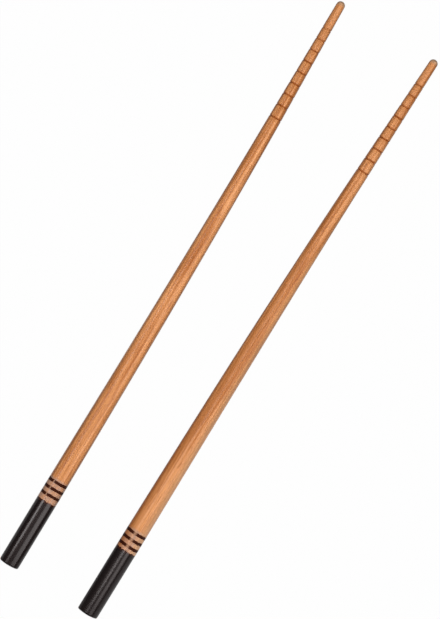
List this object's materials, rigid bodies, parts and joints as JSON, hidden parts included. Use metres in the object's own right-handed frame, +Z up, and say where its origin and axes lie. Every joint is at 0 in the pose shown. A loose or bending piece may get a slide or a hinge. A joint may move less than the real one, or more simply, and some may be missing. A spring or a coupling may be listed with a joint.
{
  "type": "pair of wooden chopsticks",
  "caption": "Pair of tapered bamboo chopsticks lying side by side, with squarish domed butts, round ringed tips, a black lacquered end and dark painted bands.",
  "frame": {"origin": "middle of the pair's outline seen from above, at the level of the table that both sticks lie on", "axes": "+Y along the sticks towards their tips, +Z up from the table, +X from the left stick towards the right one"},
  "size_m": [0.0434, 0.2404, 0.008],
  "materials": {
    "bamboo": "satin clear lacquer over carbonised bamboo, with a glossy black lacquered butt and dark brown painted bands"
  },
  "bodies": {
    "root": {"chopstick_left": "bamboo", "chopstick_right": "bamboo"}
  },
  "joints": []
}
